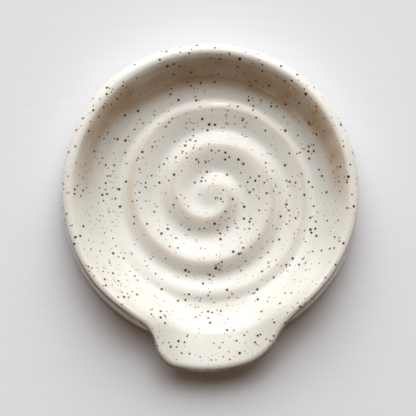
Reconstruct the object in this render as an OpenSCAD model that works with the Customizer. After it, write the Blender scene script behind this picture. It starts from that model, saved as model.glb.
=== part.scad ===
// Spoon rest: a round stoneware dish thrown on a wheel, with a glossy glaze over all but its foot.
// One spiral ridge runs over the floor, and the rim opens at the front into a lip for the handle.
// The origin is the middle of the flat foot, on the table. The rim is up along +Z, the lip points along -Y.
// All lengths are in millimetres and all angles in degrees.

/* [Dish] */
// Diameter of the clay rim, from where it would close at the front to the back
rim_d = 124; // [100:1:160]
// Height of the clay rim above the table
rim_h = 20.5; // [18:0.5:30]
// Thickness of the rim round the back
rim_t = 5.6; // [4:0.1:8]
// Thickness of the rim at the front, where it was drawn out into the lip
front_t = 3.2; // [2.5:0.1:5]
// Fall of the rim's top to the outside
rim_lean_angle = 16; // [0:1:25]
// Steepness of the sweep where it meets the rim's inner edge
rim_rise_angle = 28; // [20:1:45]
// Width of the rim's rounded inner edge
rim_round_w = 1.5; // [0.8:0.1:3]
// Height of the rim's rounded inner edge
rim_drop = 0.4; // [0.2:0.1:0.8]
// Thickness of the floor, halfway between ridge and groove
floor_t = 6.5; // [5:0.1:9]
// Width of the sweep from the level floor up to the rim
sweep_w = 15; // [10:0.5:20]
// How far the rim is drawn in to the left and to the right
side_in = 0.7; // [0:0.1:3]
// How far the rim swells out of round at its fullest place
swell_out = 1; // [0:0.1:3]
// Direction of the fullest place of the rim
swell_angle = 133; // [90:1:180]
// Length of rim that the swelling takes up
swell_w = 70; // [40:1:120]

/* [Foot] */
// How far the wall swells out below the rim
belly_out = 0.6; // [0.3:0.1:3]
// Height of the widest place of the wall above the bevel
belly_rise = 3.6; // [2:0.1:8]
// How far the flat foot stands in from the rim
foot_inset = 1.5; // [0:0.1:6]
// Width of the bare bevel round the foot
bevel_w = 2.2; // [1:0.1:4]
// Height of the bare bevel round the foot
bevel_h = 2.4; // [1:0.1:4]

/* [Spiral] */
// Distance from one ridge to the next
spiral_pitch = 19.3; // [14:0.1:24]
// Height of the ridge above the groove
ridge_h = 2; // [0.5:0.1:3.5]
// Turn of the whole spiral
spiral_turn_angle = 291.4; // [0:0.1:360]
// Skew of the ridge, which makes its outer side the steeper one
spiral_skew_angle = 14; // [0:1:30]
// Radius at which the first ridge starts
spiral_begin_r = 0.7; // [0:0.1:5]
// Place of the spiral's middle to the right of the middle of the dish
spiral_side = 0.7; // [-4:0.1:4]
// Place of the spiral's middle behind the middle of the dish
spiral_back = 0.55; // [-4:0.05:4]
// Radius of the quiet middle, over which the ridge rises to its full height
spiral_rise_w = 12; // [5:0.5:20]
// Radius from which the ridges lie closer together
spiral_tight_r = 26.8; // [20:0.1:40]
// Distance past that radius that takes in one ridge more
spiral_tight_w = 33.8; // [20:0.1:60]
// How far the ridge runs on past the level floor
spiral_over = 3.9; // [0:0.1:6]
// Distance over which the ridge dies away
spiral_fade_w = 7.7; // [3:0.1:12]
// Place of the dying ridge's middle before the middle of the dish
spiral_fore = 2; // [0:0.1:5]

/* [Lip] */
// How far the lip reaches out past the rim
lip_reach = 12.3; // [8:0.1:18]
// Width of the lip between the middles of its flanks
lip_w = 47.6; // [35:0.1:60]
// Height of the lip's edge above the table
lip_h = 12.5; // [10:0.1:14]
// Thickness of the lip's rounded edge
lip_t = 4.4; // [3:0.1:6]
// Lean of the lip's edge away from the middle
lip_lean_angle = 84; // [60:1:90]
// Turn of the lip away from straight ahead
lip_turn_angle = 2.55; // [-10:0.05:10]
// Turn of the lip's furthest place away from its middle
tip_turn_angle = -8.8; // [-10:0.1:10]
// How far the rim is drawn in beside the lip
neck_in = 0.4; // [0:0.1:1.5]
// Length of rim over which the left flank goes out to the lip
left_flank_w = 17.4; // [10:0.1:26]
// Length of rim over which the right flank goes out to the lip
right_flank_w = 28.2; // [14:0.1:34]
// Width of the dip in the rim between the middles of its two slopes
dip_w = 54; // [40:0.5:64]
// Length of rim over which the left side comes down to the lip
left_dip_w = 36; // [20:0.5:44]
// Length of rim over which the right side comes down to the lip
right_dip_w = 46; // [20:0.5:50]
// How far inside the rim's circle the slope up to the lip ends
brow_in = 2.5; // [1.5:0.1:4]
// Height of the soft brow where that slope ends
brow_drop = 0.25; // [0.15:0.05:0.6]
// Steepness of the slope up to the lip
brow_rise_angle = 10; // [8.5:0.5:30]
// Rise of the lip's top, and of the rim beside it, to the edge
tongue_rise_angle = 6; // [0:0.5:8]
// Height of the lip's root above the bevel
lip_root_rise = 1.6; // [0.5:0.1:3]

/* [Glaze] */
// Thickness of the fired glaze
glaze_t = 0.5; // [0.3:0.1:1]

/* [Hidden] */

clay_colour = "#c6ab8a";
glaze_colour = "#ece6d9";

// Part of the glaze's thickness that is left where it ends above the bevel
glaze_end_share = 0.4;
// Pull of the level floor and of the rim on the curve of the sweep between them
floor_pull_share = 0.6;
rim_pull_share = 0.25;
// Pull of the flat top on the curve of the rim's inner edge, and how far over the top the edge may reach
top_pull_share = 0.5;
brow_reach_share = 0.8;
// Tightness of the rim's outer shoulder, where 1 is a plain round
shoulder_share = 0.85;
// How much of its reach the lip loses beside its furthest place
tip_round_share = 0.14;
// Roundness of the two bends of the lip's flanks, where 1 is two parabolas
flank_share = 0.88;
// How far behind the middle the rim starts to grow thinner to the front, as a part of the way to the back
front_from_share = 0.25;
// Height of the spiral's quiet middle and of its outer turns, as parts of the ridge
middle_share = 0.7;
outer_share = 0.62;
// Pull of the rim, the belly and the bevel on the curve of the outer wall
wall_pull_share = 0.4;
// Depth of the waste clay under the foot, as a part of the bevel
waste_share = 0.5;
// How far the wire cut runs past the waste clay
overrun = 1;

// Counts of steps along the section: floor, sweep, rim top, rim edge, upper wall and lower wall
floor_steps = 18;
sweep_steps = 7;
top_steps = 4;
rim_steps = 5;
upper_steps = 4;
lower_steps = 3;
// Counts of steps round the dish: across the lip, and round the rest
lip_steps = 34;
round_steps = 38;

rim_r = rim_d / 2;
floor_r = rim_r - rim_t - sweep_w;
foot_r = rim_r - foot_inset - bevel_w;
around = rim_r * PI / 180;
lip_mid_angle = 270 + lip_turn_angle;
lip_half_angle = lip_w / 2 / around;
left_flank_angle = left_flank_w / around;
right_flank_angle = right_flank_w / around;
dip_half_angle = dip_w / 2 / around;
left_dip_angle = left_dip_w / around;
right_dip_angle = right_dip_w / around;
swell_half_angle = swell_w / 2 / around;
lip_from_angle = lip_mid_angle - dip_half_angle - left_dip_angle / 2;
lip_to_angle = lip_mid_angle + dip_half_angle + right_dip_angle / 2;
spiral_fade_r = floor_r + spiral_over;

// Directions round the dish, closer together across the lip
turns = concat(
    [for (i = [0 : lip_steps - 1]) mix(lip_from_angle, lip_to_angle, i / lip_steps)],
    [for (i = [0 : round_steps - 1]) mix(lip_to_angle, lip_from_angle + 360, i / round_steps)]
);

function mix(a, b, t) = a + (b - a) * t;

// Soft step from 0 to 1
function ease(t) = let (c = max(0, min(1, t))) c * c * (3 - 2 * c);

// Swing from 0 to 1 along two round bends, steepest between them
function swing(t) =
    let (
        off = 2 * max(0, min(1, t)) - 1,
        left = 1 - abs(off)
    )
    (1 + sign(off) * pow(1 - left * left, flank_share)) / 2;

function bezier(p, t) =
    let (s = 1 - t)
    p[0] * s * s * s + p[1] * 3 * s * s * t + p[2] * 3 * s * t * t + p[3] * t * t * t;

// Points along a curve, without its first one
function along(p, steps) = [for (i = [1 : steps]) bezier(p, i / steps)];

// How far a direction has come over the left and the right side of the lip, from 0 outside to 1 inside
function over_sides(a, half, left, right) = [
    (a - lip_mid_angle + half) / left + 1 / 2,
    (lip_mid_angle + half - a) / right + 1 / 2
];

// How far the rim has gone out into the lip in a direction
function lip_at(a) =
    let (over = over_sides(a, lip_half_angle, left_flank_angle, right_flank_angle))
    swing(over[0]) * swing(over[1]);

// How far the rim has come down to the lip in a direction
function dip_at(a) =
    let (over = over_sides(a, dip_half_angle, left_dip_angle, right_dip_angle))
    ease(over[0]) * ease(over[1]);

// How far the lip reaches past the rim in a direction, with its tip rounded off
function reach_at(a) =
    let (off = (a - lip_mid_angle - tip_turn_angle) / lip_half_angle)
    lip_reach * max(0, 1 - tip_round_share * off * off);

// How far the rim is drawn in beside the lip in a direction
function neck_at(a) =
    let (
        left = abs(a - lip_mid_angle + lip_half_angle + left_flank_angle) / left_flank_angle,
        right = abs(a - lip_mid_angle - lip_half_angle - right_flank_angle) / right_flank_angle
    )
    neck_in * (ease(1 - left) + ease(1 - right));

// How far the rim is out of round in a direction
function swell_at(a) =
    let (off = ((a - swell_angle + 540) % 360) - 180)
    swell_out * ease(1 - abs(off) / swell_half_angle);

// Height of the spiral ridge over the floor's middle level
function ridge_at(x, y) =
    let (
        right = x - spiral_side,
        back = y - spiral_back,
        r = norm([right, back]),
        more = max(0, r - spiral_tight_r) / spiral_tight_w,
        turns_out = (r - spiral_begin_r) / spiral_pitch + more * more,
        u = 360 * turns_out + atan2(back, right) + spiral_turn_angle,
        wave = cos(u - spiral_skew_angle * cos(u)),
        fade = ease((spiral_fade_r - norm([x, y + spiral_fore])) / spiral_fade_w),
        lower = ease((r - spiral_tight_r) / (spiral_fade_r - spiral_tight_r)),
        tall = ridge_h / 2 * fade * mix(1, outer_share, lower)
    )
    tall * mix(middle_share, wave, ease(r / spiral_rise_w));

// Section points raised by the ridge in a direction
function ridged(points, a) =
    [for (p = points) p + [0, ridge_at(p[0] * cos(a), p[0] * sin(a))]];

// Place on a rounded edge at an angle from its outer end, with a tighter outer shoulder
function shoulder(turn, tight) =
    cos(turn) > 0 ? [pow(cos(turn), tight), pow(max(0, sin(turn)), tight)] : [cos(turn), sin(turn)];

// Section of the clay in one direction, as radius and height, from the floor's middle
// to the waste below the foot
function section(a) =
    let (
        lip = lip_at(a),
        dip = dip_at(a),
        swell = swell_at(a),
        front = ease(front_from_share - sin(a)),
        top_t = mix(rim_t, front_t, front),
        half = mix(top_t + swell, lip_t, lip) / 2,
        round_r = rim_r - side_in * cos(a) * cos(a),
        edge_r = round_r - neck_at(a) + mix(swell, reach_at(a), lip),
        edge_h = mix(rim_h, lip_h, dip),
        lean = mix(rim_lean_angle * (1 - front), lip_lean_angle, lip),
        rise = tongue_rise_angle * front,
        tight = mix(shoulder_share, 1, lip),
        up = [sin(lean), cos(lean)],
        out = [cos(lean), -sin(lean)],
        mid = [edge_r - half, edge_h - half],
        start = 90 + lean + rise,
        edge = [for (i = [0 : rim_steps])
            let (p = shoulder(start * (1 - i / rim_steps), tight))
            mid + (out * p[0] + up * p[1]) * half],
        crest = edge[0],
        outer = edge[rim_steps],
        climb = mix(rim_rise_angle, brow_rise_angle, dip),
        rising = [cos(climb), sin(climb)],
        drop = mix(rim_drop, brow_drop, dip),
        inner_r = round_r - mix(top_t / 2 + rim_round_w, brow_in, lip),
        inner = [inner_r, crest[1] - (crest[0] - inner_r) * tan(rise) - drop],
        brow_l = min(
            drop / (sin(climb) - cos(climb) * tan(rise)),
            brow_reach_share * (crest[0] - inner_r) / cos(climb)
        ),
        brow = inner + rising * brow_l,
        corner = [floor_r, floor_t],
        belly = [
            round_r + belly_out + swell * (1 - lip),
            bevel_h + mix(belly_rise, lip_root_rise, lip)
        ],
        bevel = [-bevel_w, -bevel_h],
        foot = [foot_r, 0],
        sweep = [
            corner,
            corner + [floor_pull_share * (inner[0] - corner[0]), 0],
            inner - rising * rim_pull_share * norm(inner - corner),
            inner
        ],
        upper = [
            outer,
            outer - up * wall_pull_share * norm(outer - belly),
            belly + [0, wall_pull_share * (outer[1] - belly[1])],
            belly
        ],
        lower = [
            belly,
            belly - [0, wall_pull_share * (belly[1] - bevel_h)],
            foot - bevel * (1 + wall_pull_share),
            foot - bevel
        ]
    )
    concat(
        ridged([for (i = [1 : floor_steps]) [floor_r * i / floor_steps, floor_t]], a),
        ridged(along(sweep, sweep_steps), a),
        along([inner, brow, mix(brow, crest, top_pull_share), crest], top_steps),
        [for (i = [1 : rim_steps]) edge[i]],
        along(upper, upper_steps),
        along(lower, lower_steps),
        [foot + bevel * waste_share]
    );

// Section points pushed out square to the section, from the first one to the glaze's end
function glazed(points, last) =
    [for (i = [0 : last])
        let (
            before = i == 0 ? [0, points[0][1]] : points[i - 1],
            way = points[i + 1] - before,
            t = i == last ? glaze_t * glaze_end_share : glaze_t
        )
        points[i] + [-way[1], way[0]] / norm(way) * t];

// Section point turned into the dish
function placed(p, a) = [p[0] * cos(a), p[0] * sin(a), p[1]];

// Triangles between rings of points, where each ring follows the one before it
function bands(first, rings, count) =
    [for (k = [0 : rings - 2], i = [0 : count - 1])
        let (
            j = (i + 1) % count,
            a = first + k * count + i,
            b = first + k * count + j
        )
        each [[a, b, a + count], [b, b + count, a + count]]];

// Triangles from a middle point to a ring
function fan(middle, first, count) =
    [for (i = [0 : count - 1]) [middle, first + i, first + (i + 1) % count]];

function flipped(faces) = [for (f = faces) [f[0], f[2], f[1]]];

// The thrown clay, with the waste still under its foot
module thrown_clay() {
    sections = [for (a = turns) section(a)];
    rings = len(sections[0]);
    count = len(turns);
    waste_z = sections[0][rings - 1][1];
    points = concat(
        [[0, 0, floor_t + ridge_at(0, 0)], [0, 0, waste_z]],
        [for (k = [0 : rings - 1], i = [0 : count - 1]) placed(sections[i][k], turns[i])]
    );
    polyhedron(points, concat(
        flipped(fan(0, 2, count)),
        bands(2, rings, count),
        fan(1, 2 + (rings - 1) * count, count)
    ));
}

// Stoneware body, cut flat from the wheel under the foot
module clay_body() {
    waste_h = bevel_h * waste_share + overrun;
    color(clay_colour)
        difference() {
            thrown_clay();
            translate([0, 0, -waste_h])
                cylinder(h = waste_h, r = rim_r, $fn = 96);
        }
}

// Fired glaze, over the clay from the floor's middle to the bevel of the foot
module glaze_coat() {
    sections = [for (a = turns) section(a)];
    last = len(sections[0]) - 2;
    skins = [for (s = sections) glazed(s, last)];
    count = len(turns);
    rings = last + 1;
    mid_z = floor_t + ridge_at(0, 0);
    outer = 2;
    inner = outer + rings * count;
    points = concat(
        [[0, 0, mid_z + glaze_t], [0, 0, mid_z]],
        [for (k = [0 : last], i = [0 : count - 1]) placed(skins[i][k], turns[i])],
        [for (k = [0 : last], i = [0 : count - 1]) placed(sections[i][k], turns[i])]
    );
    outer_end = outer + last * count;
    inner_end = inner + last * count;
    rim_faces = [for (i = [0 : count - 1])
        let (j = (i + 1) % count)
        each [
            [outer_end + i, outer_end + j, inner_end + i],
            [outer_end + j, inner_end + j, inner_end + i]
        ]];
    color(glaze_colour)
        polyhedron(points, concat(
            flipped(fan(0, outer, count)),
            bands(outer, rings, count),
            fan(1, inner, count),
            flipped(bands(inner, rings, count)),
            rim_faces
        ));
}

clay_body();
glaze_coat();
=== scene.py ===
"""Spoon rest: a round stoneware dish with a spiral ridge, an open lip and a speckled glaze."""

import logging
import math
from dataclasses import dataclass
from enum import Enum
from typing import Any

import bmesh
import bpy
from mathutils import Matrix, Vector


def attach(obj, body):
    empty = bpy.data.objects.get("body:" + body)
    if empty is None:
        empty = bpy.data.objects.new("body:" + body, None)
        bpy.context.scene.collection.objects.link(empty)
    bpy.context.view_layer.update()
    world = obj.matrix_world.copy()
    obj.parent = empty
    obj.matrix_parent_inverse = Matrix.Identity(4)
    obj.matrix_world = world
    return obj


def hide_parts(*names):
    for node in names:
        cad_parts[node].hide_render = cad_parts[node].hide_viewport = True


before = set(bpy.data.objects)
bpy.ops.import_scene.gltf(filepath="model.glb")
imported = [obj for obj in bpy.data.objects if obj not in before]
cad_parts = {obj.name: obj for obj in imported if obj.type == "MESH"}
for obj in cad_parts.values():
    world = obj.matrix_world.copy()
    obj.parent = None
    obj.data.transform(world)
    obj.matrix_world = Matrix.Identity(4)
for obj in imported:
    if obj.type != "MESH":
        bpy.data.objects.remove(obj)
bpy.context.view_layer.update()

log = logging.getLogger("spoon_rest")

MM = 0.001
FULL_TURN = 360.0
HALF_TURN = 180.0
QUARTER_TURN = 90.0
# Direction of the lip, in degrees round from the right
FRONT = 270.0
# Points closer than this are one: millimetres on the dish, rings on the flat disc
MERGE = 0.001
BODY = "root"

Tree = bpy.types.NodeTree
Socket = bpy.types.NodeSocket
Point = bmesh.types.BMVert
# Two values between which something goes softly from none to all
Ends = tuple[float, float]
# Waves round the dish: their number, where they start in radians, and their weight
Wave = tuple[int, float, float]


def linear(colour: str) -> tuple[float, float, float, float]:
    """Turns an sRGB hex colour into the linear values that shaders take.

    Args:
        colour: sRGB colour such as "#ece6d9".

    Returns:
        Linear red, green and blue, and full opacity.
    """
    shares = [int(colour[i : i + 2], 16) / 255 for i in (1, 3, 5)]
    # The straight and the bent stretch of the sRGB curve
    values = [c / 12.92 if c <= 0.04045 else ((c + 0.055) / 1.055) ** 2.4 for c in shares]
    return values[0], values[1], values[2], 1.0


def add_node(
    tree: Tree, kind: str, inputs: dict[Any, Any] | None = None, **settings: Any
) -> bpy.types.Node:
    """Adds a node with its settings and links.

    Args:
        tree: node tree to add to.
        kind: Blender's name for the kind of node.
        inputs: value or linked socket for each input, by name or place.
        settings: properties to set on the node itself.

    Returns:
        The new node.
    """
    node = tree.nodes.new(kind)
    for name, value in settings.items():
        setattr(node, name, value)
    for place, value in (inputs or {}).items():
        if isinstance(value, Socket):
            tree.links.new(value, node.inputs[place])
        else:
            node.inputs[place].default_value = value
    return node


def per_metre(size: float) -> float:
    """Pattern scale for a size in millimetres, on coordinates in metres."""
    return 1 / (size * MM)


def toward(side: float, height: float) -> Vector:
    """Direction of length 1, from degrees round from the right and degrees up from the table."""
    turn, up = math.radians(side), math.radians(height)
    return Vector((math.cos(up) * math.cos(turn), math.cos(up) * math.sin(turn), math.sin(up)))


def blend(tree: Tree, share: Any, a: Any, b: Any) -> Socket:
    """Mixes two colours, each values or a socket, by the share of the second."""
    inputs = {"Factor": share, "A": a, "B": b}
    return add_node(tree, "ShaderNodeMix", inputs, data_type="RGBA").outputs["Result"]


def calc(tree: Tree, operation: str, *values: Any) -> Socket:
    """Works out a value in a material, by Blender's name for the operation."""
    inputs = dict(enumerate(values))
    return add_node(tree, "ShaderNodeMath", inputs, operation=operation).outputs["Value"]


def ramp(tree: Tree, value: Socket, ends: Ends, to: Ends = (0.0, 1.0)) -> Socket:
    """Takes a value evenly from between two ends to between two others."""
    inputs = {"Value": value, "From Min": ends[0], "From Max": ends[1]}
    inputs |= {"To Min": to[0], "To Max": to[1]}
    return add_node(tree, "ShaderNodeMapRange", inputs).outputs["Result"]


def noted(tree: Tree, name: str) -> Socket:
    """Reads a share that was noted at each point of a piece."""
    return add_node(tree, "ShaderNodeAttribute", attribute_name=name).outputs["Fac"]


def noise(tree: Tree, where: Socket, size: float, detail: float) -> Any:
    """Outputs of a cloudy pattern, by the clouds' size in millimetres and the finer layers."""
    inputs = {"Vector": where, "Scale": per_metre(size), "Detail": detail}
    return add_node(tree, "ShaderNodeTexNoise", inputs).outputs


def scatter(tree: Tree, where: Socket, spacing: float) -> tuple[Socket, Any]:
    """Distance to the nearest of many strewn places, and that place's own draws, as colours."""
    inputs = {"Vector": where, "Scale": per_metre(spacing)}
    cells = add_node(tree, "ShaderNodeTexVoronoi", inputs).outputs
    draw = add_node(tree, "ShaderNodeSeparateColor", {"Color": cells["Color"]}).outputs
    return cells["Distance"], draw


def roughen(tree: Tree, height: Socket, most: float) -> None:
    """Gives a material's shader fine bumps, up to a height in millimetres."""
    bumps = add_node(tree, "ShaderNodeBump", {"Height": height, "Distance": most * MM})
    tree.links.new(bumps.outputs["Normal"], tree.nodes["Principled BSDF"].inputs["Normal"])


def put(name: str, data: Any) -> bpy.types.Object:
    """Makes an object of some data and puts it into the scene, at the origin."""
    made = bpy.data.objects.new(name, data)
    bpy.context.scene.collection.objects.link(made)
    return made


def disc(tree: Tree, away: Socket, radius: Socket, edge: Ends, strength: float) -> Socket:
    """Draws soft-edged discs round the middles of a pattern's cells.

    Args:
        tree: node tree to add to.
        away: distance from the middle of a cell.
        radius: radius of the disc, in the same measure.
        edge: where the soft edge begins and ends, as shares of the radius.
        strength: value inside the disc.

    Returns:
        The value, 0 outside the disc.
    """
    inputs = {"Value": away, "To Min": strength, "To Max": 0.0}
    for name, share in zip(("From Min", "From Max"), edge):
        inputs[name] = calc(tree, "MULTIPLY", radius, share)
    fall = add_node(tree, "ShaderNodeMapRange", inputs, interpolation_type="SMOOTHSTEP")
    return fall.outputs["Result"]


def mix(a: Any, b: Any, share: float) -> Any:
    """Goes from a to b by a share."""
    return a + (b - a) * share


def ease(t: float) -> float:
    """Soft step from 0 to 1."""
    c = max(0.0, min(1.0, t))
    return c * c * (3 - 2 * c)


def step(ends: Ends, value: float) -> float:
    """Soft step from 0 at the first end to 1 at the second."""
    return ease((value - ends[0]) / (ends[1] - ends[0]))


def within(t: float, share: float) -> float:
    """Soft rise and fall over a share of a stretch, at each of its two ends."""
    return ease(t / share) * ease((1 - t) / share)


def hump(turns: float) -> float:
    """Wave between 0 and 1, by the turns it has made."""
    return 0.5 + 0.5 * math.sin(math.tau * turns)


def add_waves(waves: tuple[Wave, ...], angle: float) -> float:
    """Sum of waves round the dish, in a direction."""
    turn = math.radians(angle)
    return sum(weight * math.sin(number * turn + start) for number, start, weight in waves)


def turned(angle: float) -> float:
    """Brings an angle between -180 and 180."""
    return (angle + HALF_TURN) % FULL_TURN - HALF_TURN


def bezier(points: list[Vector], t: float) -> Vector:
    """Point of a cubic curve at t."""
    s = 1 - t
    a, b, c, d = points
    return a * s**3 + b * (3 * s * s * t) + c * (3 * s * t * t) + d * t**3


class Zone(Enum):
    """Stretches of the dish's section, from the floor's middle round to the base's middle."""

    FLOOR = "floor"
    SWEEP = "sweep"
    TOP = "rim top"
    RIM = "rim edge"
    UPPER = "upper wall"
    LOWER = "lower wall"
    BEVEL = "bevel"
    BASE = "base"


@dataclass(frozen=True)
class DishForm:
    """Shape of the thrown dish, in the same sizes as its solids: millimetres and degrees."""

    rim_d: float = 124.0
    rim_h: float = 20.5
    rim_t: float = 5.6
    front_t: float = 3.2
    rim_lean: float = 16.0
    rim_rise_angle: float = 28.0
    rim_round_w: float = 1.5
    rim_drop: float = 0.4
    shoulder_power: float = 0.85
    floor_t: float = 6.5
    sweep_w: float = 15.0
    swell_out: float = 1.0
    swell_angle: float = 133.0
    swell_w: float = 70.0
    side_in: float = 0.7
    belly_out: float = 0.6
    belly_rise: float = 3.6
    foot_inset: float = 1.5
    bevel_w: float = 2.2
    bevel_h: float = 2.4
    spiral_pitch: float = 19.3
    spiral_begin: float = 0.7
    spiral_tight_r: float = 26.8
    spiral_tight_w: float = 33.8
    ridge_h: float = 2.0
    spiral_turn: float = -68.6
    spiral_skew: float = 14.0
    spiral_side: float = 0.7
    spiral_back: float = 0.55
    middle_share: float = 0.7
    outer_share: float = 0.62
    spiral_rise_w: float = 12.0
    spiral_fade_r: float = 45.3
    spiral_fade_w: float = 7.7
    spiral_fade_fore: float = 2.0
    lip_reach: float = 12.3
    lip_w: float = 47.6
    lip_h: float = 12.5
    lip_t: float = 4.4
    lip_lean: float = 84.0
    lip_turn: float = 2.55
    tip_turn: float = -8.8
    tip_round_share: float = 0.14
    flank_share: float = 0.88
    front_from_share: float = 0.25
    neck_in: float = 0.4
    left_flank_w: float = 17.4
    right_flank_w: float = 28.2
    dip_w: float = 54.0
    left_dip_w: float = 36.0
    right_dip_w: float = 46.0
    brow_in: float = 2.5
    brow_rise_angle: float = 10.0
    brow_drop: float = 0.25
    tongue_rise_angle: float = 6.0
    lip_root_rise: float = 1.6
    floor_pull_share: float = 0.6
    rim_pull_share: float = 0.25
    top_pull_share: float = 0.5
    brow_reach_share: float = 0.8
    wall_pull_share: float = 0.4

    @property
    def rim_r(self) -> float:
        """Radius of the rim."""
        return self.rim_d / 2

    @property
    def floor_r(self) -> float:
        """Radius of the level floor."""
        return self.rim_r - self.rim_t - self.sweep_w

    @property
    def foot_r(self) -> float:
        """Radius of the flat foot."""
        return self.rim_r - self.foot_inset - self.bevel_w

    def spread(self, length: float) -> float:
        """Angle that a length of rim takes up."""
        return math.degrees(length / self.rim_r)

    def over_sides(
        self, angle: float, width: float, left_w: float, right_w: float
    ) -> tuple[float, float]:
        """Says how far a direction has come over the two sides of the lip.

        Args:
            angle: direction round the dish.
            width: length of rim between the middles of the sides.
            left_w: length of rim that the left side takes up.
            right_w: length of rim that the right side takes up.

        Returns:
            Way over the left and over the right side, 0 or less outside and 1 or more inside.
        """
        off, half = self.off_lip(angle), self.spread(width / 2)
        left = (off + half) / self.spread(left_w) + 0.5
        right = (half - off) / self.spread(right_w) + 0.5
        return left, right

    def swing(self, t: float) -> float:
        """Step from 0 to 1 along two round bends, steepest between them."""
        off = 2 * max(0.0, min(1.0, t)) - 1
        return (1 + math.copysign((1 - (1 - abs(off)) ** 2) ** self.flank_share, off)) / 2

    def lip_share(self, angle: float) -> float:
        """How far the rim has gone out into the lip in a direction, from 0 to 1."""
        left, right = self.over_sides(angle, self.lip_w, self.left_flank_w, self.right_flank_w)
        return self.swing(left) * self.swing(right)

    def dip_share(self, angle: float) -> float:
        """How far the rim has come down to the lip in a direction, from 0 to 1."""
        left, right = self.over_sides(angle, self.dip_w, self.left_dip_w, self.right_dip_w)
        return ease(left) * ease(right)

    def off_lip(self, angle: float) -> float:
        """Angle from the lip's middle to a direction, from -180 to 180."""
        return turned(angle - FRONT - self.lip_turn)

    def reach(self, angle: float) -> float:
        """How far the lip reaches past the rim in a direction, with its tip rounded off."""
        off = (self.off_lip(angle) - self.tip_turn) / self.spread(self.lip_w / 2)
        return self.lip_reach * max(0.0, 1 - self.tip_round_share * off * off)

    def neck(self, angle: float) -> float:
        """How far the rim is drawn in beside the lip in a direction."""
        off, half = self.off_lip(angle), self.spread(self.lip_w / 2)
        left, right = self.spread(self.left_flank_w), self.spread(self.right_flank_w)
        drawn = ease(1 - abs(off + half + left) / left) + ease(1 - abs(off - half - right) / right)
        return self.neck_in * drawn

    def front_share(self, angle: float) -> float:
        """How far a direction lies to the front, where the rim is thinner, from 0 to 1."""
        return ease(self.front_from_share - math.sin(math.radians(angle)))

    def swell(self, angle: float) -> float:
        """How far the rim is out of round in a direction."""
        off = turned(angle - self.swell_angle)
        return self.swell_out * ease(1 - abs(off) / self.spread(self.swell_w / 2))

    def ridge(self, x: float, y: float) -> float:
        """Gives the spiral ridge's height over the floor's middle level.

        Args:
            x: place to the right of the axis.
            y: place behind the axis.

        Returns:
            Height, negative in the groove.
        """
        right, back = x - self.spiral_side, y - self.spiral_back
        r = math.hypot(right, back)
        outer = max(0.0, r - self.spiral_tight_r) / self.spiral_tight_w
        turns = (r - self.spiral_begin) / self.spiral_pitch + outer * outer
        turn = FULL_TURN * turns + math.degrees(math.atan2(back, right)) + self.spiral_turn
        skew = self.spiral_skew * math.cos(math.radians(turn))
        wave = math.cos(math.radians(turn - skew))
        away = math.hypot(x, y + self.spiral_fade_fore)
        fade = ease((self.spiral_fade_r - away) / self.spiral_fade_w)
        lower = step((self.spiral_tight_r, self.spiral_fade_r), r)
        tall = self.ridge_h / 2 * fade * mix(1.0, self.outer_share, lower)
        return tall * mix(self.middle_share, wave, ease(r / self.spiral_rise_w))


@dataclass(frozen=True)
class Place:
    """A place on the dish, by stretch and way along it, direction, radius, height and length."""

    zone: Zone
    t: float
    angle: float
    r: float
    h: float
    length: float


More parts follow.
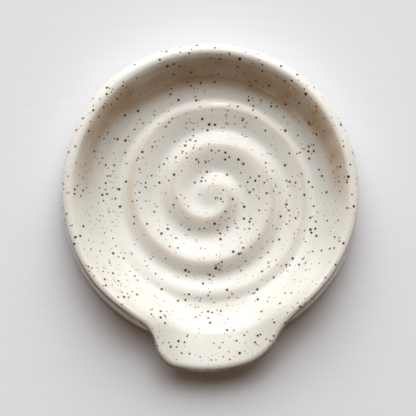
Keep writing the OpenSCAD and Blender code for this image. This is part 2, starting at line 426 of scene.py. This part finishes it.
class Section:
    """Section of the clay in one direction, as radius and height."""

    def __init__(self, form: DishForm, angle: float) -> None:
        """Works out the section's curves.

        Args:
            form: sizes of the dish.
            angle: direction round the dish.
        """
        self.form, self.angle = form, angle
        lip = form.lip_share(angle)
        dip = form.dip_share(angle)
        swell = form.swell(angle)
        front = form.front_share(angle)
        rim_t = mix(form.rim_t, form.front_t, front)
        edge_t = mix(rim_t + swell, form.lip_t, lip)
        rim_r = form.rim_r - form.side_in * math.cos(math.radians(angle)) ** 2
        edge_r = rim_r - form.neck(angle) + mix(swell, form.reach(angle), lip)
        edge_h = mix(form.rim_h, form.lip_h, dip)
        tilt = mix(form.rim_lean * (1 - front), form.lip_lean, lip)
        lean = math.radians(tilt)
        self.up = Vector((math.sin(lean), math.cos(lean)))
        self.out = Vector((math.cos(lean), -math.sin(lean)))
        self.half = edge_t / 2
        self.mid = Vector((edge_r - self.half, edge_h - self.half))
        rise = form.tongue_rise_angle * front
        self.start = math.radians(QUARTER_TURN + tilt + rise)
        self.power = mix(form.shoulder_power, 1.0, lip)
        drop = mix(form.rim_drop, form.brow_drop, dip)
        climb = math.radians(mix(form.rim_rise_angle, form.brow_rise_angle, dip))
        rising = Vector((math.cos(climb), math.sin(climb)))
        steep = math.tan(math.radians(rise))
        crest = self.arch(0.0)
        inner_r = rim_r - mix(rim_t / 2 + form.rim_round_w, form.brow_in, lip)
        inner = Vector((inner_r, crest.y - (crest.x - inner_r) * steep - drop))
        brow_l = min(
            drop / (rising.y - rising.x * steep),
            form.brow_reach_share * (crest.x - inner_r) / rising.x,
        )
        brow = inner + rising * brow_l
        outer = self.arch(1.0)
        corner = Vector((form.floor_r, form.floor_t))
        belly = Vector((
            rim_r + form.belly_out + swell * (1 - lip),
            form.bevel_h + mix(form.belly_rise, form.lip_root_rise, lip),
        ))
        foot = Vector((form.foot_r, 0.0))
        bevel_top = foot + Vector((form.bevel_w, form.bevel_h))
        pull = form.wall_pull_share
        self.curves = {
            Zone.SWEEP: [
                corner,
                corner + Vector((form.floor_pull_share * (inner.x - corner.x), 0.0)),
                inner - rising * (form.rim_pull_share * (inner - corner).length),
                inner,
            ],
            Zone.TOP: [inner, brow, mix(brow, crest, form.top_pull_share), crest],
            Zone.UPPER: [
                outer,
                outer - self.up * (pull * (outer - belly).length),
                belly + Vector((0.0, pull * (outer.y - belly.y))),
                belly,
            ],
            Zone.LOWER: [
                belly,
                belly - Vector((0.0, pull * (belly.y - form.bevel_h))),
                foot + (bevel_top - foot) * (1 + pull),
                bevel_top,
            ],
        }
        self.foot, self.bevel_top = foot, bevel_top

    def arch(self, t: float) -> Vector:
        """Finds a point of the rounded edge, whose outer shoulder is tighter than its inner one.

        Args:
            t: place along the edge, from 0 inside to 1 outside.

        Returns:
            Radius and height.
        """
        turn = self.start * (1 - t)
        over, rise = math.cos(turn), math.sin(turn)
        if over > 0:
            over, rise = over**self.power, max(0.0, rise) ** self.power
        return self.mid + (self.out * over + self.up * rise) * self.half

    def point(self, zone: Zone, t: float) -> Vector:
        """Finds a point of the section.

        Args:
            zone: stretch of the section.
            t: place along the stretch, from 0 to 1.

        Returns:
            Radius and height.
        """
        if zone in (Zone.FLOOR, Zone.SWEEP):
            level = Vector((self.form.floor_r * t, self.form.floor_t))
            at = level if zone is Zone.FLOOR else bezier(self.curves[zone], t)
            a = math.radians(self.angle)
            return at + Vector((0.0, self.form.ridge(at.x * math.cos(a), at.x * math.sin(a))))
        if zone is Zone.RIM:
            return self.arch(t)
        if zone is Zone.BEVEL:
            return mix(self.bevel_top, self.foot, t)
        if zone is Zone.BASE:
            return Vector((self.foot.x * (1 - t), 0.0))
        return bezier(self.curves[zone], t)

    def trace(self, stations: list[tuple[Zone, float]]) -> list[Place]:
        """Follows the section out from the middle of the floor.

        Args:
            stations: stretches and places along them, in order.

        Returns:
            The middle of the floor, then one place for each station.
        """
        form = self.form
        at, length = Vector((0.0, form.floor_t + form.ridge(0.0, 0.0))), 0.0
        places = [Place(Zone.FLOOR, 0.0, self.angle, at.x, at.y, length)]
        for zone, t in stations:
            before, at = at, self.point(zone, t)
            length += (at - before).length
            places.append(Place(zone, t, self.angle, at.x, at.y, length))
        return places


class Thrown:
    """A flat disc thrown into the dish: its rings become the section, its spokes the directions."""

    def __init__(
        self, form: DishForm, steps: dict[Zone, int], spokes: int, notes: tuple[str, ...]
    ) -> None:
        """Spins the flat disc and throws it.

        Args:
            form: sizes of the dish.
            steps: rings of points in each stretch of the section, in order.
            spokes: directions round the dish.
            notes: names of the values to keep at each point, for the finish to read.
        """
        self.form, self.spokes = form, spokes
        self.stations = [(zone, i / n) for zone, n in steps.items() for i in range(1, n + 1)]
        self.bm = bmesh.new()
        # Layers come first, because a new one breaks the hold on points that are already there
        self.layers = {name: self.bm.verts.layers.float.new(name) for name in notes}
        self.place: dict[Point, Place] = {}
        self.spin_disc()
        self.throw()
        bmesh.ops.remove_doubles(self.bm, verts=self.bm.verts[:], dist=MERGE * MM)
        self.face_outwards(closed=Zone.BASE in steps)
        self.place = {v: p for v, p in self.place.items() if v.is_valid}

    def spin_disc(self) -> None:
        """Makes a flat disc with one ring of points for each station, one unit apart."""
        rings = len(self.stations)
        ends = [self.bm.verts.new((x, 0.0, 0.0)) for x in (0.0, float(rings))]
        line = self.bm.edges.new(ends)
        bmesh.ops.subdivide_edges(self.bm, edges=[line], cuts=rings - 1)
        bmesh.ops.spin(
            self.bm,
            geom=self.bm.verts[:] + self.bm.edges[:],
            cent=(0.0, 0.0, 0.0),
            axis=(0.0, 0.0, 1.0),
            angle=math.tau,
            steps=self.spokes,
            use_merge=True,
        )
        bmesh.ops.remove_doubles(self.bm, verts=self.bm.verts[:], dist=MERGE)

    def throw(self) -> None:
        """Moves each point of the disc to its place on the dish."""
        angles = [FULL_TURN * spoke / self.spokes for spoke in range(self.spokes)]
        traces = [Section(self.form, angle).trace(self.stations) for angle in angles]
        for v in self.bm.verts:
            ring = round(v.co.xy.length)
            share = math.atan2(v.co.y, v.co.x) / math.tau
            spoke = round(share * self.spokes) % self.spokes
            place = traces[spoke][ring]
            self.place[v] = place
            turn = math.radians(place.angle)
            v.co = Vector((place.r * math.cos(turn), place.r * math.sin(turn), place.h)) * MM

    def face_outwards(self, closed: bool) -> None:
        """Turns the faces out of the clay.

        Args:
            closed: whether the form is a closed body rather than a skin.
        """
        bmesh.ops.recalc_face_normals(self.bm, faces=self.bm.faces[:])
        self.bm.normal_update()
        middle = min(self.bm.verts, key=lambda v: (v.co.xy.length, -v.co.z))
        if not closed and middle.normal.z < 0:
            bmesh.ops.reverse_faces(self.bm, faces=self.bm.faces[:])
            self.bm.normal_update()

    def bend(self, v: Point) -> float:
        """Measures how sharply the surface bends at a point.

        Args:
            v: point of the form.

        Returns:
            Mean bend in radians per millimetre, positive on crests.
        """
        total = 0.0
        for edge in v.link_edges:
            far = edge.other_vert(v)
            step = far.co - v.co
            total += (far.normal - v.normal).dot(step) / step.length_squared
        return total / len(v.link_edges) * MM

    def note(self, name: str, values: dict[Point, float]) -> None:
        """Keeps a value at each point, for the finish to read.

        Args:
            name: name of the attribute.
            values: value at each point.
        """
        layer = self.layers[name]
        for v in self.bm.verts:
            v[layer] = values[v]

    def push(self, heights: dict[Point, float]) -> None:
        """Moves points out square to the surface.

        Args:
            heights: length to move each point by, in millimetres.
        """
        moves = [(v, v.normal * (h * MM)) for v, h in heights.items()]
        for v, move in moves:
            v.co += move
        self.bm.normal_update()

    def finish(self, name: str) -> bpy.types.Object:
        """Makes the thrown form a smooth object.

        Args:
            name: name of the piece.

        Returns:
            The new object, at the origin.
        """
        mesh = bpy.data.meshes.new(name)
        for f in self.bm.faces:
            f.smooth = True
        self.bm.to_mesh(mesh)
        self.bm.free()
        return put(name, mesh)


@dataclass(frozen=True)
class HandMarks:
    """Traces that the potter's fingers, wire and trimming tool leave, in millimetres."""

    wander_h: float = 0.1
    wander_waves: tuple[Wave, ...] = ((3, 0.7, 0.45), (5, 2.1, 0.3), (8, 4.0, 0.15), (13, 1.2, 0.1))
    inner_line_h: float = 0.012
    inner_line_pitch: float = 1.5
    wall_line_h: float = 0.035
    wall_line_pitch: float = 2.7
    fading_share: float = 0.35
    fading_waves: int = 2
    fading_per_mm: float = 0.8
    streak_share: float = 0.2
    streak_pitch: float = 1.7
    streak_waves: tuple[Wave, ...] = ((2, 0.0, 1.1), (5, 1.0, 0.7))
    streak_mix: tuple[float, float, float] = (0.5, 0.3, 0.2)
    finer_pitch_share: float = 0.37
    finer_drift: float = 3.0
    wire_h: float = 0.09
    wire_pitch: float = 2.3
    wire_from: float = 110.0
    trim_h: float = 0.05
    trim_pitch: float = 0.8

    def wander(self, angle: float) -> float:
        """Slow unevenness of a rim that a hand let go of, in a direction."""
        return self.wander_h * (add_waves(self.wander_waves, angle) - 1)

    def lines(self, place: Place) -> float:
        """Height of the fine lines that fingers leave on a turning wall.

        Args:
            place: place on the dish.

        Returns:
            Height over the smooth wall.
        """
        inner = place.zone is Zone.SWEEP
        tall = self.inner_line_h if inner else self.wall_line_h
        pitch = self.inner_line_pitch if inner else self.wall_line_pitch
        turns = place.length / pitch + place.angle / FULL_TURN
        drift = math.radians(self.fading_waves * place.angle) + self.fading_per_mm * place.length
        uneven = mix(1.0, math.sin(drift), self.fading_share)
        return tall * uneven * math.sin(math.tau * turns)

    def streak(self, place: Place) -> float:
        """Says how far the glaze ran off the finger lines of the steep wall.

        Args:
            place: place on the dish.

        Returns:
            Share of the most that it ran off anywhere.
        """
        drift = add_waves(self.streak_waves, place.angle)
        way = math.tau * place.length / self.streak_pitch
        wave = math.sin(way + drift)
        finer = math.sin(way / self.finer_pitch_share + self.finer_drift * drift)
        level, most, least = self.streak_mix
        return 1 - self.streak_share * (level + most * wave + least * finer)

    def wire(self, x: float, y: float) -> float:
        """Depth of the curved ripple that the cutting wire leaves under the foot, at a place."""
        return self.wire_h * hump(math.hypot(x, y + self.wire_from) / self.wire_pitch)


@dataclass(frozen=True)
class Grains:
    """One size of iron grain in the clay that melts up into the glaze, in millimetres."""

    spacing: float
    radius: float
    strength: float
    dark: str
    rusty: str
    halo: float = 0.0
    smallest_share: float = 0.5
    filled_share: float = 0.5


@dataclass(frozen=True)
class SpeckledGlaze:
    """Milky gloss glaze, dipped over speckled stoneware and fired.

    A thick, clear-topped white: deep gloss with a slightly wavy skin. It runs thin and lets the
    warm clay through on crests and edges, pools whiter in grooves, and iron grains melt up into it
    as brown specks. The clay colours are also painted shade on the back wall, under the rim and on
    the front shoulder of the rim and lip, which face away from the light.
    """

    milk: str = "#eae8de"
    pooled: str = "#ebebe3"
    clouded: str = "#e4e1d6"
    # Clay under thin glaze on crests and steep walls; also painted shade on the back wall and under
    # the rim
    thin_clay_and_shade: str = "#be9a71"
    # Clay on the edges; also painted shade on the front shoulder of the rim and lip
    edge_clay_and_shade: str = "#8a6545"
    halo: str = "#cbb193"
    ior: float = 1.46
    roughness: float = 0.03
    rough_more: float = 0.03
    rough_ends: Ends = (0.3, 0.7)
    speck_rough: float = 0.16
    speck_dent_share: float = 0.25
    cloud: float = 13.0
    cloud_ends: Ends = (0.35, 0.7)
    patch_ends: Ends = (0.3, 0.6)
    patch_least: float = 0.55
    ripple: float = 7.0
    ripple_h: float = 0.02
    peel: float = 1.3
    peel_share: float = 0.06
    ragged: float = 0.55
    ragged_move: float = 0.24
    cluster: float = 11.0
    cluster_ends: Ends = (0.3, 0.7)
    cluster_shares: Ends = (0.3, 1.7)
    speck_edge: Ends = (0.8, 1.12)
    halo_edge: Ends = (0.7, 2.1)
    grains: tuple[Grains, ...] = (
        Grains(1.5, 0.3, 0.55, "#8f6250", "#c08c78"),
        Grains(1.9, 0.44, 0.9, "#4c2d24", "#9a5f4a"),
        Grains(2.5, 0.66, 1.0, "#301c17", "#6a3c2d", 0.3),
    )

    def material(self) -> bpy.types.Material:
        """Makes the glaze.

        Returns:
            The new material, which reads the attributes thin, pool and edge.
        """
        made = bpy.data.materials.new("speckled_glaze")
        made.use_nodes = True
        tree = made.node_tree
        shader = tree.nodes["Principled BSDF"]
        where = add_node(tree, "ShaderNodeTexCoord").outputs["Object"]
        clouds = noise(tree, where, self.cloud, detail=3.0)["Fac"]
        colour = self.body(tree, clouds)
        colour, specks = self.speckle(tree, where, colour)
        tree.links.new(colour, shader.inputs["Base Color"])
        self.gloss(tree, where, clouds, specks)
        shader.inputs["IOR"].default_value = self.ior
        return made

    def body(self, tree: Tree, clouds: Socket) -> Socket:
        """Colours the glaze by how thick it lies, with the clay colours also painted as shade on
        the back wall and the front shoulder.

        Args:
            tree: the glaze's nodes.
            clouds: slow unevenness.

        Returns:
            Colour without specks.
        """
        spread = ramp(tree, clouds, self.cloud_ends)
        patchy = ramp(tree, clouds, self.patch_ends, (self.patch_least, 1.0))
        colour = blend(tree, spread, linear(self.milk), linear(self.clouded))
        # The thin and edge shares carry painted shade as well as the clay under thin glaze
        shades = {"pool": self.pooled, "thin": self.thin_clay_and_shade, "edge": self.edge_clay_and_shade}
        for name, shade in shades.items():
            share = calc(tree, "MULTIPLY", noted(tree, name), patchy)
            colour = blend(tree, share, colour, linear(shade))
        return colour

    def speckle(self, tree: Tree, where: Socket, colour: Socket) -> tuple[Socket, Socket]:
        """Melts the iron grains into the glaze, as balls that the surface cuts through.

        Args:
            tree: the glaze's nodes.
            where: place on the piece.
            colour: colour of the glaze without specks.

        Returns:
            Colour with specks, and how much of a speck lies at a place.
        """
        moves = noise(tree, where, self.ragged, detail=1.0)["Color"]
        ragged = add_node(
            tree,
            "ShaderNodeVectorMath",
            {0: moves, 1: [self.ragged_move * MM] * 3, 2: where},
            operation="MULTIPLY_ADD",
        ).outputs["Vector"]
        crowd = noise(tree, where, self.cluster, detail=1.0)["Fac"]
        specks = None
        for size in self.grains:
            away, draw = scatter(tree, ragged, size.spacing)
            few, many = (share * size.filled_share for share in self.cluster_shares)
            filled = ramp(tree, crowd, self.cluster_ends, (few, many))
            there = calc(tree, "LESS_THAN", draw["Green"], filled)
            widest = size.radius / size.spacing
            grown = ramp(tree, draw["Red"], (0.0, 1.0), (widest * size.smallest_share, widest))
            radius = calc(tree, "MULTIPLY", there, grown)
            shade = blend(tree, draw["Blue"], linear(size.dark), linear(size.rusty))
            if size.halo:
                ring = disc(tree, away, radius, self.halo_edge, size.halo)
                colour = blend(tree, ring, colour, linear(self.halo))
            spot = disc(tree, away, radius, self.speck_edge, size.strength)
            colour = blend(tree, spot, colour, shade)
            specks = spot if specks is None else calc(tree, "MAXIMUM", specks, spot)
        return colour, specks

    def gloss(self, tree: Tree, where: Socket, clouds: Socket, specks: Socket) -> None:
        """Gives the skin its gloss and its slight waviness.

        Args:
            tree: the glaze's nodes.
            where: place on the piece.
            clouds: slow unevenness.
            specks: how much of a speck lies at a place.
        """
        shader = tree.nodes["Principled BSDF"]
        dull = calc(tree, "MAXIMUM", specks, noted(tree, "edge"))
        most = self.roughness + self.rough_more
        base = ramp(tree, clouds, self.rough_ends, (self.roughness, most))
        rough = calc(tree, "MULTIPLY_ADD", dull, self.speck_rough, base)
        tree.links.new(rough, shader.inputs["Roughness"])
        height = noise(tree, where, self.ripple, detail=1.0)["Fac"]
        peel = noise(tree, where, self.peel, detail=0.0)["Fac"]
        for bumps, share in ((peel, self.peel_share), (specks, -self.speck_dent_share)):
            height = calc(tree, "MULTIPLY_ADD", bumps, share, height)
        roughen(tree, height, self.ripple_h)


@dataclass(frozen=True)
class BareClay:
    """Buff stoneware, fired bare where the foot stood on the kiln shelf.

    Matte and gritty, with iron specks and pale grog, toasted darker in a band next to the glaze.
    """

    buff: str = "#c9ae8d"
    pale: str = "#d9c4a6"
    toasted: str = "#a8764d"
    iron: str = "#523729"
    roughness: float = 0.86
    cloud: float = 9.0
    cloud_ends: Ends = (0.3, 0.7)
    grit: float = 0.5
    grit_h: float = 0.06
    grog_ends: Ends = (0.55, 0.75)
    grog_strength: float = 0.5
    iron_spacing: float = 1.9
    iron_r: float = 0.26
    iron_edge: Ends = (0.7, 1.2)
    iron_strength: float = 0.85

    def material(self) -> bpy.types.Material:
        """Makes the clay.

        Returns:
            The new material, which reads the attribute toast.
        """
        made = bpy.data.materials.new("bare_clay")
        made.use_nodes = True
        tree = made.node_tree
        shader = tree.nodes["Principled BSDF"]
        where = add_node(tree, "ShaderNodeTexCoord").outputs["Object"]
        clouds = noise(tree, where, self.cloud, detail=4.0)["Fac"]
        grit = noise(tree, where, self.grit, detail=2.0)["Fac"]
        away, draw = scatter(tree, where, self.iron_spacing)
        radius = calc(tree, "MULTIPLY", draw["Red"], self.iron_r / self.iron_spacing)
        speck = disc(tree, away, radius, self.iron_edge, self.iron_strength)
        mottled = ramp(tree, clouds, self.cloud_ends)
        gritty = ramp(tree, grit, self.grog_ends, (0.0, self.grog_strength))
        colour = blend(tree, mottled, linear(self.buff), linear(self.pale))
        colour = blend(tree, noted(tree, "toast"), colour, linear(self.toasted))
        colour = blend(tree, gritty, colour, linear(self.pale))
        colour = blend(tree, speck, colour, linear(self.iron))
        tree.links.new(colour, shader.inputs["Base Color"])
        shader.inputs["Roughness"].default_value = self.roughness
        roughen(tree, grit, self.grit_h)
        return made


@dataclass(frozen=True)
class PaintedBoard:
    """White emulsion brushed on a board: even and matte, with faint long brush lines."""

    paint: str = "#e6e7ea"
    shade: str = "#e4e5e8"
    roughness: float = 0.55
    stroke: tuple[float, float] = (45.0, 1.6)
    stroke_h: float = 0.006
    stroke_ends: Ends = (0.35, 0.65)

    def material(self) -> bpy.types.Material:
        """Makes the paint.

        Returns:
            The new material.
        """
        made = bpy.data.materials.new("painted_board")
        made.use_nodes = True
        tree = made.node_tree
        shader = tree.nodes["Principled BSDF"]
        where = add_node(tree, "ShaderNodeTexCoord").outputs["Object"]
        scale = [per_metre(self.stroke[0]), per_metre(self.stroke[1]), 1.0]
        drawn = add_node(tree, "ShaderNodeMapping", {"Vector": where, "Scale": scale})
        inputs = {"Vector": drawn.outputs["Vector"], "Scale": 1.0, "Detail": 3.0}
        brush = add_node(tree, "ShaderNodeTexNoise", inputs).outputs["Fac"]
        share = ramp(tree, brush, self.stroke_ends)
        colour = blend(tree, share, linear(self.paint), linear(self.shade))
        tree.links.new(colour, shader.inputs["Base Color"])
        shader.inputs["Roughness"].default_value = self.roughness
        roughen(tree, brush, self.stroke_h)
        return made


@dataclass
class GlazeCoat:
    """The fired glaze: a skin over the clay, from the floor to a rolled end above the foot.

    Each pair of ends says where a share grows from none to all: along a stretch of the section, by
    the sine of a direction, by how sharply the surface bends or by how far it faces up. The rings
    are counted for each stretch in turn.
    """

    form: DishForm
    marks: HandMarks = HandMarks()
    finish: SpeckledGlaze = SpeckledGlaze()
    coat_t: float = 0.45
    bead_t: float = 0.08
    end_share: float = 0.8
    end_sink: float = 0.05
    lines_end_share: float = 0.25
    sweep_wander: Ends = (0.5, 1.0)
    upper_wander: Ends = (0.5, 0.0)
    crest_bend: Ends = (0.045, 0.075)
    crest_share: float = 0.3
    groove_bend: Ends = (0.01, 0.1)
    # Shares of clay colour on the inner wall: thin glaze, and painted shade that is heaviest on the
    # back wall and under the rim
    wall_tan_and_shade: float = 1.0
    wall_turn: float = 2.0
    shaded_wall_back: Ends = (-0.2, 0.5)
    wall_middle: Ends = (0.35, 0.95)
    side_rise: Ends = (0.36, 0.7)
    middle_rise: Ends = (0.1, 0.4)
    flare: Ends = (0.7, 1.0)
    side_flare_tan_and_shade: float = 0.75
    flare_tan_and_shade: float = 0.5
    front_share: float = 0.1
    top_fall: Ends = (0.288, 0.048)
    shade_edge_front: Ends = (0.04, -0.76)
    edge_over: Ends = (0.93, 0.53)
    edge_under: Ends = (-0.5, 0.0)
    edge_fall: Ends = (0.16, 0.0)
    rings: tuple[int, ...] = (60, 50, 10, 16, 28, 20)
    spokes: int = 420

    def build(self) -> bpy.types.Object:
        """Throws the skin, notes where it lies thin and where it carries painted shade, and pushes
        it out from the clay.

        Returns:
            The new piece.
        """
        steps = dict(zip(Zone, self.rings))
        thrown = Thrown(self.form, steps, self.spokes, ("thin", "pool", "edge"))
        bends = {v: thrown.bend(v) for v in thrown.bm.verts}
        places = thrown.place
        thrown.note("thin", {v: self.thin(places[v], bends[v]) for v in bends})
        thrown.note("pool", {v: self.pool(bends[v]) for v in bends})
        thrown.note("edge", {v: self.edge(places[v], v.normal.z) for v in bends})
        thrown.push({v: self.lies(places[v]) for v in bends})
        return thrown.finish("glaze_coat_skin")

    def thin(self, place: Place, bend: float) -> float:
        """Says how far the clay colour shows on crests and on the steep inner wall: thin glaze, and
        on the wall also painted shade, most on the back wall and under the rim.

        Args:
            place: place on the dish.
            bend: how sharply the surface bends there.

        Returns:
            Share of clay colour, on the wall partly painted shade.
        """
        if place.zone is Zone.RIM:
            return 0.0
        # Painted shade: the clay colour grows towards the back wall, which faces away from the
        # light
        back = step(self.shaded_wall_back, math.sin(math.radians(place.angle + self.wall_turn)))
        back_shade = mix(self.front_share, 1.0, back)
        if place.zone is Zone.TOP:
            return self.flare_tan_and_shade * back_shade * step(self.top_fall, place.t)
        if place.zone is not Zone.SWEEP:
            return self.crest_share * step(self.crest_bend, bend)
        middle = step(self.wall_middle, math.sin(math.radians(place.angle)))
        low, high = (mix(a, b, middle) for a, b in zip(self.side_rise, self.middle_rise))
        upper = mix(self.side_flare_tan_and_shade, self.flare_tan_and_shade, middle) * back_shade
        most = mix(self.wall_tan_and_shade * back, upper, step(self.flare, place.t))
        return most * step((low, high), place.t) * self.marks.streak(place)

    def pool(self, bend: float) -> float:
        """Says how far the glaze pools, by how sharply the surface hollows."""
        return step(self.groove_bend, -bend)

    def edge(self, place: Place, up: float) -> float:
        """Says how far the clay colour shows on the outer shoulder of the rim and round the lip's
        edge:
        thin glaze, with painted shade growing towards the front, where the shoulder turns from the
        light.

        Args:
            place: place on the dish.
            up: how far the surface faces up, from -1 to 1.

        Returns:
            Share of clay colour, partly painted shade.
        """
        # Painted shade: stronger towards the front, where the shoulder faces away from the light
        front = step(self.shade_edge_front, math.sin(math.radians(place.angle)))
        if place.zone is Zone.RIM:
            return front * step(self.edge_over, up) * step(self.edge_under, up)
        if place.zone is Zone.UPPER:
            return front * step(self.edge_under, up) * step(self.edge_fall, place.t)
        return 0.0

    def lies(self, place: Place) -> float:
        """Height of the glaze's skin over the smooth clay.

        Args:
            place: place on the dish.

        Returns:
            Height in millimetres, below the clay where the glaze has ended.
        """
        height, wander = self.coat_t, self.marks.wander(place.angle)
        if place.zone in (Zone.SWEEP, Zone.UPPER):
            height += self.marks.lines(place) * within(place.t, self.lines_end_share)
        if place.zone in (Zone.TOP, Zone.RIM):
            height += wander
        if place.zone is Zone.SWEEP:
            height += wander * step(self.sweep_wander, place.t)
        if place.zone is Zone.UPPER:
            height += wander * step(self.upper_wander, place.t)
        if place.zone is Zone.LOWER:
            height += self.bead_t * ease(place.t / self.end_share)
            past = max(0.0, place.t - self.end_share) / (1 - self.end_share)
            height = mix(-self.end_sink, height, math.sqrt(max(0.0, 1 - past * past)))
        return height

    def dress(self, piece: bpy.types.Object) -> None:
        """Glazes the piece and ties it to the frame.

        Args:
            piece: the skin.
        """
        piece.data.materials.append(self.finish.material())
        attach(piece, BODY)
        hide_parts("glaze_coat")


@dataclass
class ClayBody:
    """The stoneware body, which shows bare on the bevel and under the foot.

    The rings are counted for each stretch in turn.
    """

    form: DishForm
    marks: HandMarks = HandMarks()
    finish: BareClay = BareClay()
    wire_edge: float = 2.0
    trim_end_share: float = 0.2
    toast_most: float = 0.9
    toast_least: float = 0.35
    toast_fall: Ends = (0.25, 0.0)
    rings: tuple[int, ...] = (24, 12, 5, 8, 8, 10, 10, 60)
    spokes: int = 240

    def build(self) -> bpy.types.Object:
        """Throws the closed body, trims its bevel and cuts it from the wheel.

        Returns:
            The new piece.
        """
        steps = dict(zip(Zone, self.rings))
        thrown = Thrown(self.form, steps, self.spokes, ("toast",))
        thrown.note("toast", {v: self.toast(p) for v, p in thrown.place.items()})
        thrown.push({v: -self.cut(p) for v, p in thrown.place.items()})
        return thrown.finish("clay_body_thrown")

    def toast(self, place: Place) -> float:
        """Says how far the clay is toasted by the kiln.

        Args:
            place: place on the dish.

        Returns:
            Share of the toasted colour.
        """
        if place.zone is Zone.BEVEL:
            return mix(self.toast_most, self.toast_least, ease(place.t))
        if place.zone is Zone.BASE:
            return self.toast_least * step(self.toast_fall, place.t)
        return self.toast_most

    def cut(self, place: Place) -> float:
        """Depth that the wire and the trimming tool took off the smooth clay.

        Args:
            place: place on the dish.

        Returns:
            Depth in millimetres.
        """
        marks = self.marks
        if place.zone is Zone.BASE:
            turn = math.radians(place.angle)
            inside = ease((self.form.foot_r - place.r) / self.wire_edge)
            return inside * marks.wire(place.r * math.cos(turn), place.r * math.sin(turn))
        if place.zone is Zone.BEVEL:
            turns = place.length / marks.trim_pitch + place.angle / FULL_TURN
            return within(place.t, self.trim_end_share) * marks.trim_h * hump(turns)
        return 0.0

    def dress(self, piece: bpy.types.Object) -> None:
        """Fires the piece and ties it to the frame.

        Args:
            piece: the body.
        """
        piece.data.materials.append(self.finish.material())
        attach(piece, BODY)
        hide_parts("clay_body")


@dataclass(frozen=True)
class Viewpoint:
    """Where the photograph was taken from, in millimetres and degrees."""

    tilt: float = 8.3
    side: float = 262.0
    distance: float = 900.0
    aim: tuple[float, float, float] = (-1.1, -7.4, 20.0)
    pixels_per_mm: float = 2.418
    frame_pixels: float = 416.0
    sensor: float = 36.0

    def place(self) -> None:
        """Makes the camera and hands it to the scene."""
        data = bpy.data.cameras.new("viewpoint")
        data.sensor_width = self.sensor
        data.lens = self.sensor * self.distance * self.pixels_per_mm / self.frame_pixels
        camera = put("viewpoint", data)
        back = toward(self.side, QUARTER_TURN - self.tilt)
        right = (Vector((1.0, 0.0, 0.0)) - back * back.x).normalized()
        turn = Matrix((right, back.cross(right), back)).transposed().to_4x4()
        where = (Vector(self.aim) + back * self.distance) * MM
        camera.matrix_world = Matrix.Translation(where) @ turn
        bpy.context.scene.camera = camera


@dataclass(frozen=True)
class Studio:
    """Table, window light and the soft light of the room, in metres and degrees."""

    table_r: float = 3.0
    table_sides: int = 96
    pane_size: tuple[float, float] = (0.36, 0.03)
    pane_heights: tuple[float, ...] = (51.0, 58.0)
    pane_away: float = 1.15
    pane_watts: float = 0.34
    window_side: float = 82.0
    sky: float = 4.5
    sky_side: float = 90.0
    sky_height: float = 37.0
    sky_colour: str = "#fafcff"
    sky_edge: float = 0.66
    room: float = 0.085
    room_colour: str = "#ffc27c"

    def build(self) -> None:
        """Makes the table, the window and the room."""
        self.lay_table()
        self.open_window()
        self.light_room()

    def lay_table(self) -> None:
        """Makes the table that the dish stands on."""
        bm = bmesh.new()
        bmesh.ops.create_circle(bm, cap_ends=True, segments=self.table_sides, radius=self.table_r)
        mesh = bpy.data.meshes.new("table")
        bm.to_mesh(mesh)
        bm.free()
        table = put("table", mesh)
        table.data.materials.append(PaintedBoard().material())

    def open_window(self) -> None:
        """Makes the narrow bright panes behind the dish, which draw its highlights."""
        for height in self.pane_heights:
            lamp = bpy.data.lights.new("pane", "AREA")
            lamp.shape = "ELLIPSE"
            lamp.size, lamp.size_y = self.pane_size
            lamp.energy = self.pane_watts
            pane = put("pane", lamp)
            way = toward(self.window_side, height)
            pane.location = way * self.pane_away
            pane.rotation_euler = way.to_track_quat("Z", "Y").to_euler()

    def light_room(self) -> None:
        """Makes the world: bright towards the window, dim and warm elsewhere."""
        world = bpy.data.worlds.new("room")
        world.use_nodes = True
        tree = world.node_tree
        where = add_node(tree, "ShaderNodeTexCoord").outputs["Generated"]
        way = toward(self.sky_side, self.sky_height)
        facing = add_node(tree, "ShaderNodeVectorMath", {0: where, 1: way}, operation="DOT_PRODUCT")
        share = add_node(
            tree,
            "ShaderNodeMapRange",
            {"Value": facing.outputs["Value"], "From Min": self.sky_edge, "From Max": 1.0},
            interpolation_type="SMOOTHSTEP",
        )
        dim = [c * self.room for c in linear(self.room_colour)[:3]] + [1.0]
        bright = [c * self.sky for c in linear(self.sky_colour)[:3]] + [1.0]
        glow = blend(tree, share.outputs["Result"], dim, bright)
        tree.links.new(glow, tree.nodes["Background"].inputs["Color"])
        bpy.context.scene.world = world


def main() -> None:
    """Builds the scene in order and reports each piece."""
    logging.basicConfig(level=logging.INFO, format="%(message)s")
    bpy.context.scene.view_settings.view_transform = "Standard"
    Viewpoint().place()
    Studio().build()
    form = DishForm()
    for part in (ClayBody(form), GlazeCoat(form)):
        piece = part.build()
        part.dress(piece)
        log.info("%s: %d faces", piece.name, len(piece.data.polygons))


if __name__ == "__main__":
    main()
